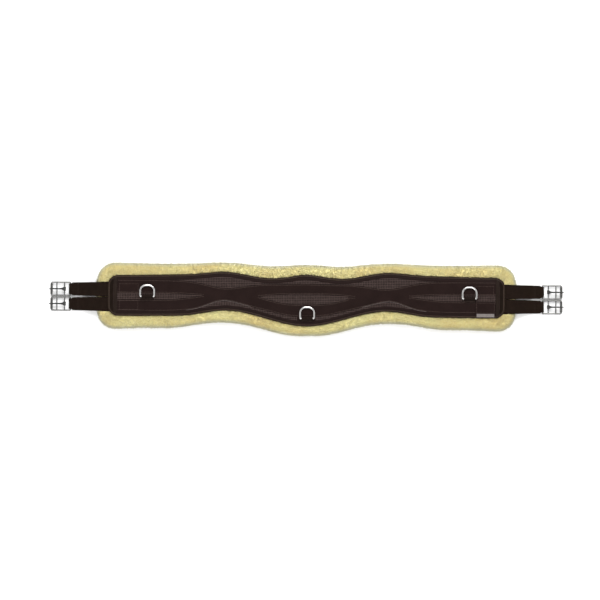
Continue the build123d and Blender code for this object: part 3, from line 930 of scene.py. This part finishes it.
def elastic_strap(side, sign, row):
    """One strap with its fold's seams. It is narrowest where it turns round the bar."""
    key = f"{side}_{row}"
    bar = hinge_at[f"buckle_hinge_{key}"]
    web_low, web_high = box(f"strap_web_{key}")
    bar_x, body_x = abs(bar[0]), np.abs(body_outline[:, 0]).max()
    high_z, low_z = web_high[2] - 1.1 * MM, web_low[2] + 1.1 * MM
    path = strap_path(bar_x, bar[2], body_x, high_z, low_z)
    width_at = [body_x + 8 * MM, body_x + 26 * MM, bar_x - 22 * MM, bar_x - 5.5 * MM, bar_x - 2.5 * MM]
    width = np.interp(path[:, 0], width_at, np.array([17.8, 17.0, 16.2, 15.8, 13.1]) * MM)
    points, faces = ribbon(path, width, ELASTIC_THICKNESS, 15, 0.14 * MM)
    points[:, 1] += bar[1]
    points[:, 0] *= sign
    faces = [face[::-1] for face in faces] if sign == 1 else faces
    strap = make_piece(f"elastic_strap_{key}", points, faces, ELASTIC, body=None,
                       replaces=(f"strap_web_{key}", f"strap_loop_{key}"), slot="elastic")
    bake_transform(strap)
    seams = [np.linspace((x, bar[1] - SEAM_HALF, low_z + 1.1 * MM),
                         (x, bar[1] + SEAM_HALF, low_z + 1.1 * MM), 28)
             for x in sign * (bar_x - np.array([19.5, 17.0]) * MM)]
    stitch_rows(f"loop_stitching_{key}", seams, 0, material=DARK_THREAD, body=f"strap_end_{key}")


for side, sign in (("left", -1), ("right", 1)):
    for row in ("upper", "lower"):
        elastic_strap(side, sign, row)

# %% D-ring tabs
TAB_BEND = 3.15 * MM                   # radius of the tab's middle round the ring's bar


def tab_path(bar, tail):
    """A tab seen from the side: along the top, round the ring's bar and back over itself."""
    ys = np.linspace(tail, bar[1] - 5 * MM, 6)
    ground = top_height(np.full(6, bar[0]), ys) + 0.35 * MM
    lower = np.stack([ys, ground + 0.5 * MM], 1)
    upper = np.stack([ys, ground + 1.75 * MM], 1)[::-1]
    upper[0] += (0, 0.5 * MM)
    turn = np.linspace(np.radians(-90), np.radians(128), 14)
    loop = np.stack([bar[1] + TAB_BEND * np.cos(turn), bar[2] + TAB_BEND * np.sin(turn)], 1)
    bend = rounded(np.vstack([lower[-1:], loop, upper[:2]]), 2)
    return resample(np.vstack([lower[:-1], bend, upper[2:]]), 0.8 * MM)


def ring_tab(place):
    """One tab with the two seams across its tail."""
    bar = hinge_at[f"ring_swing_{place}"]
    tab_low, tab_high = box(f"ring_tab_{place}")
    half = (tab_high[0] - tab_low[0]) / 2
    path = tab_path(bar, tab_low[1])
    points, faces = ribbon(path, np.full(len(path), half), 1.1 * MM, 10, 0.05 * MM)
    placed = np.stack([points[:, 1] + bar[0], points[:, 0], points[:, 2]], 1)
    make_piece(f"ring_tab_{place}_web", placed, [face[::-1] for face in faces], TAB_WEB,
               replaces=(f"ring_tab_{place}",), slot="webbing")
    seam_half = half - 2.5 * MM
    seams = []
    for y in (tab_low[1] + 1.4 * MM, tab_low[1] + 3.2 * MM):
        z = float(top_height(bar[0], y)) + 2.75 * MM
        seams.append(np.linspace((bar[0] - seam_half, y, z), (bar[0] + seam_half, y, z), 20))
    stitch_rows(f"tab_stitching_{place}", seams, 0)


for place in ("left", "centre", "right"):
    ring_tab(place)


# %% [markdown]
# ## Sheepskin
# Wool is a thick lumpy mat whose surface is made of locks: bundles of crimped fibres that part from
# each other. The mat is a closed surface over the frame's outline, and thousands of short curled
# locks stand on it. Hair particles would not export as a mesh, and bump alone has no soft edge.

# %% The mat
def wool_outline():
    """Outline of the sheepskin: the frame's points that lie furthest out, cell by cell along it."""
    flat = np.unique(np.round(node_points("sheepskin_pile")[:, :2], 5), axis=0)
    low, high, reach = split_outline(body_outline)
    outside = (flat[:, 1] < low(flat[:, 0])) | (flat[:, 1] > high(flat[:, 0]))
    outside |= np.abs(flat[:, 0]) > reach - 25 * MM
    flat = flat[outside]
    left, right = flat[:, 0].min(), flat[:, 0].max()
    cells = np.linspace(left, right + 1e-6, 160)
    lines = []
    for part, pick in ((flat[flat[:, 1] <= MIDLINE], np.argmin), (flat[flat[:, 1] > MIDLINE], np.argmax)):
        cell = np.digitize(part[:, 0], cells)
        groups = [part[cell == c] for c in np.unique(cell)]
        line = [group[pick(group[:, 1])] for group in groups]
        ends = [part[np.abs(part[:, 0] - x) < 0.2 * MM] for x in (left, right)]
        ends = [end[np.argmin(np.abs(end[:, 1] - MIDLINE))] for end in ends]
        lines.append(np.array([ends[0], *line, ends[1]]))
    return np.vstack([lines[0], lines[1][::-1]])


FRINGE = 1.2 * MM                      # how far the locks stand out past the mat
RIM = 25 * MM                          # height of the wool beside the body
UNDER_BODY = 17.5 * MM                 # and under it
STRAP_BED = 21.3 * MM                  # and under the straps
BED_HALF = 36 * MM                     # half the width that the straps press down
BED_START = 470 * MM                   # from there outwards
SIDE_TOP = 6 * MM                      # where the mat's upright side passes into its round top
pile_line = moved_in(smooth_closed(resample(wool_outline(), 2 * MM, closed=True), 3), FRINGE)
pile_low, pile_high, pile_reach = split_outline(pile_line)
body_low, body_high, body_reach = split_outline(body_outline)


def near(distance, width):
    """0 at a distance of 0, rising evenly to 1 at the given width."""
    return np.clip(distance / width, 0, 1)


def rolled(distance, width):
    """The same rise as a quarter circle, upright at first and level at the given width."""
    return np.sqrt(1 - (1 - near(distance, width)) ** 2)


def under_body(flat):
    """Whether places lie under the body."""
    within = (flat[:, 1] > body_low(flat[:, 0])) & (flat[:, 1] < body_high(flat[:, 0]))
    return within & (np.abs(flat[:, 0]) < body_reach)


def strap_bed(flat, margin=0.0, start=BED_START):
    """Whether places lie under a pair of straps, or within a margin beside them."""
    return (np.abs(flat[:, 1] - MIDLINE) < BED_HALF + margin) & (np.abs(flat[:, 0]) > start)


def wool_height(x, y):
    """Top of the wool: round at the outer edge, highest beside the body, pressed under the straps."""
    flat = places(x, y)
    edge = distance_to(flat, pile_line)
    z = SIDE_TOP + (RIM - SIDE_TOP) * rolled(edge, 15 * MM)
    lumps = 0.8 * MM * soft_noise(flat, 19 * MM, 11) + 0.35 * MM * soft_noise(flat, 7 * MM, 12)
    z += lumps * near(edge, SIDE_TOP)
    z = np.where(strap_bed(flat), np.minimum(z, STRAP_BED), z)
    deep = near(distance_to(flat, body_outline), 3 * MM)
    z = np.where(under_body(flat), UNDER_BODY * deep + z * (1 - deep), z)
    return z.reshape(x.shape)


wool_x = end_crowding(pile_reach - 0.3 * MM, 40 * MM, 330, 40)
wool_rows = edge_rows(90, 2.0)
X, Y = columns_between(wool_x, pile_low, pile_high, wool_rows)
flat = places(X, Y)
edge = distance_to(flat, pile_line).reshape(X.shape)
tufts = (soft_noise(flat, 14 * MM, 13) + 0.5 * soft_noise(flat, 6 * MM, 14)).reshape(X.shape)
Z_low = np.maximum(5.5 * MM - 4.3 * MM * rolled(edge, 8 * MM) + 0.9 * MM * tufts, 0)
points, faces = closed_slab(grid_points(X, Y, wool_height(X, Y)), grid_points(X, Y, Z_low),
                            len(wool_x), len(wool_rows))
# Painted shade: the mat is darker the lower it lies, so the gaps between the locks look deep.
shade = 0.3 * near(points[:, 2], RIM)
fringe = np.clip(1 - np.tile(edge.ravel(), 2) / (6 * MM), 0, 1)
mat = make_piece("wool_mat", points, faces, WOOL, replaces=("sheepskin_pile",), slot="sheepskin",
                 values={"shade": shade, "fringe": fringe})


# %% Locks of wool
SIDES = 3
TAPER = np.array([1.0, 1.05, 0.85, 0.6, 0.15])     # a lock's thickness from its root to its tip
RINGS = len(TAPER)
SIDE_BAND = 1.2 * MM                   # locks this near the mat's edge stand on its side
SIDE_REACH = 14 * MM                   # height of the side that they cover


def lean(flat):
    """The way the wool lies: neighbouring locks lean alike, so that they gather in tufts."""
    fine = [soft_noise(flat, 9 * MM, 41 + k) for k in range(3)]
    broad = [soft_noise(flat, 30 * MM, 51 + k) for k in range(3)]
    return 0.30 * np.stack(fine, 1) + 0.14 * np.stack(broad, 1)


def wool_locks(name, count, seed, low_band, high_band, length, size):
    """Curled tapering locks on the rim, between two distances from the mat's outer edge. Those right
    at the edge stand all over its side."""
    rng = np.random.default_rng(seed)
    out = outward(pile_line)
    pick = rng.integers(0, len(pile_line), count)
    depth = rng.uniform(low_band, high_band, count)
    base = pile_line[pick] - depth[:, None] * out[pick] + rng.normal(0, 0.8 * MM, (count, 2))
    keep = ~under_body(base) & ~(strap_bed(base, 1 * MM, 475 * MM) & (depth > 2 * MM))
    base, pick, depth = base[keep], pick[keep], depth[keep]
    count = len(base)
    low_down = rng.uniform(1.0 * MM, SIDE_REACH, count)
    at_side = depth < SIDE_BAND
    z = np.where(at_side, low_down, wool_height(base[:, 0], base[:, 1]) - 1.0 * MM)
    tilt = np.where(at_side, 1.15 - 0.35 * low_down / SIDE_REACH, 1 - near(depth, 12 * MM))
    facing = np.concatenate([out[pick] * (0.25 + 1.0 * tilt)[:, None], (1.15 - tilt)[:, None]], 1)
    facing = unit(facing + (lean(base) + rng.normal(0, 0.17, (count, 3))))
    side = unit(np.cross(facing, rng.normal(size=(count, 3))))
    third = np.cross(facing, side)
    reach_out = length * rng.uniform(0.6, 1.2, count)
    t = np.linspace(0, 1, RINGS)
    curl = rng.uniform(0.5, 1.5, count)[:, None] * 1.5 * np.pi * t[None]
    swing = 0.22 * reach_out[:, None] * t[None]
    spine = (np.concatenate([base, z[:, None]], 1)[:, None, :]
             + facing[:, None] * (reach_out[:, None] * (t - 0.25 * t ** 2)[None])[..., None]
             + side[:, None] * (swing * np.sin(curl))[..., None]
             + third[:, None] * (swing * (1 - np.cos(curl)))[..., None])
    spine[..., 2] = np.maximum(spine[..., 2], 1.2 * MM)
    radius = size * rng.uniform(0.7, 1.3, count)[:, None] * TAPER
    angle = np.arange(SIDES) / SIDES * 2 * np.pi
    ring = (side[:, None, None] * np.cos(angle)[None, None, :, None]
            + third[:, None, None] * np.sin(angle)[None, None, :, None])
    points = spine[:, :, None] + radius[:, :, None, None] * ring
    template = grid_quads(RINGS, SIDES, close_v=True, flip=True)
    per_lock = RINGS * SIDES
    starts = (np.arange(count) * per_lock)[:, None]
    sides = (template[None] + starts[:, None]).reshape(-1, 4).tolist()
    caps = np.vstack([starts + np.arange(SIDES), starts + np.arange(per_lock - SIDES, per_lock)[::-1]])
    tone = rng.uniform(-0.15, 0.15, count)
    # Painted shade: each lock is darker towards its root, where the locks shade each other; tone is each
    # lock's own colour.
    shade = 0.45 + 0.5 * t[None, :, None] + tone[:, None, None] + np.zeros((1, 1, SIDES))
    grey = np.clip(1.2 - depth / (6 * MM), 0, 1)[:, None, None] * (0.7 + 0.3 * t[None, :, None])
    return make_piece(name, points.reshape(-1, 3), sides + caps.tolist(), WOOL, slot="sheepskin",
                      values={"shade": np.clip(shade, 0, 1).ravel(),
                              "fringe": (grey + np.zeros((1, 1, SIDES))).ravel()})


for batch in range(3):
    wool_locks(f"wool_locks_top_{batch}", 11000, 21 + batch, 5 * MM, 34 * MM, 5.0 * MM, 0.95 * MM)
for batch in range(2):
    wool_locks(f"wool_locks_edge_{batch}", 7000, 31 + batch, 0 * MM, 8 * MM, 3.8 * MM, 0.75 * MM)
    wool_locks(f"wool_locks_side_{batch}", 7000, 35 + batch, -0.4 * MM, 1.1 * MM, 3.2 * MM, 0.85 * MM)

# %% [markdown]
# ## Metal and hidden pieces
# Buckles, tongues, rollers and D-rings keep their frame meshes and get a polished finish. The hide,
# tapes, lining and webbings are inside, but they get their own finishes too, for anyone who takes
# the girth apart.

# %% Finishes on frame nodes
HIDE = leather("pale hide", (0.42, 0.33, 0.20), (0.55, 0.45, 0.30))
TAPE = woven("black tape", (0.008, 0.007, 0.007), (0.013, 0.012, 0.012), 0.85)
LINING = woven("dark lining", (0.0120, 0.0075, 0.0060), (0.0180, 0.0115, 0.0090))
BUCKLE = ("buckle_frame", "tongue", "roller")
INNER = {"sheepskin_backing": HIDE, "hook_tapes": TAPE, "loop_tapes": TAPE, "inner_lining": LINING,
         "spine_webbing": TAB_WEB}
for name, obj in frame["nodes"].items():
    # The buckles' darker steel is painted shade and reflection on the same metal as the rings.
    finish = SHADED_BUCKLE_STEEL if name.startswith(BUCKLE) else INNER.get(name)
    finish = BRIGHT_STEEL if name.startswith("d_ring") else finish
    if finish:
        for slot in obj.material_slots:
            slot.material = finish
print("buckle nodes", sum(name.startswith(BUCKLE) for name in frame["nodes"]))

# %% [markdown]
# ## Floor, light and camera
# The girth lies on a white sweep under soft light from all round, with a little more from above the
# far side. A long lens straight overhead keeps the plan's proportions.

# %% Floor
SWEEP = mottled("white sweep", 0.9, 3.0, (0.93, 0.93, 0.93), (0.95, 0.95, 0.95))
HALF_FLOOR = 6.0
corners = np.array([[-1, -1, 0], [1, -1, 0], [1, 1, 0], [-1, 1, 0]]) * HALF_FLOOR
floor = make_piece("floor", corners, [[0, 1, 2, 3]], SWEEP, body=None)

# %% Lights
def dome(name, side, overhead):
    """A soft dome of light, brighter from the sides than from straight overhead."""
    world = bpy.data.worlds.new(name)
    world.use_nodes = True
    tree = world.node_tree
    facing = add(tree, "ShaderNodeTexCoord").outputs["Generated"]
    up = add(tree, "ShaderNodeSeparateXYZ", {0: facing}).outputs["Z"]
    strength = add(tree, "ShaderNodeMapRange", {0: up, 1: 0.55, 2: 0.95, 3: side, 4: overhead},
                   interpolation_type="SMOOTHSTEP")
    tree.links.new(strength.outputs[0], tree.nodes["Background"].inputs["Strength"])
    tree.nodes["Background"].inputs["Color"].default_value = (1, 1, 1, 1)
    return world


def soft_light(name, place, size, power):
    """A square area light that faces the girth's middle."""
    data = bpy.data.lights.new(name, "AREA")
    data.size = size
    data.energy = power
    obj = bpy.data.objects.new(name, data)
    obj.location = place
    obj.rotation_euler = (-Vector(place)).to_track_quat("-Z", "Y").to_euler()
    bpy.context.collection.objects.link(obj)
    return obj


bpy.context.scene.world = dome("soft studio", side=1.45, overhead=0.40)
soft_light("far side", (0.3, 2.4, 2.3), 2.2, 120)
soft_light("near side", (-0.6, -2.4, 2.1), 2.2, 50)
bpy.context.scene.view_settings.view_transform = "Standard"

# %% Camera
LENGTH_SHARE = 0.856667                # the girth's length as a share of the frame's width
OFF_CENTRE = (-0.0106, -0.0007)        # the camera's place over the girth, in frame widths
ROLL = np.radians(0.425)
HEIGHT = 6.0
plane_width = (cad_bounds[1][0] - cad_bounds[0][0]) / LENGTH_SHARE
camera_data = bpy.data.cameras.new("camera")
camera_data.sensor_width = 36
camera_data.lens = camera_data.sensor_width * HEIGHT / plane_width
camera_data.clip_end = 50
camera = bpy.data.objects.new("camera", camera_data)
camera.location = (OFF_CENTRE[0] * plane_width, OFF_CENTRE[1] * plane_width, HEIGHT)
camera.rotation_euler = (0, 0, ROLL)
bpy.context.collection.objects.link(camera)
bpy.context.scene.camera = camera
print("lens", round(camera_data.lens, 1), "mm")
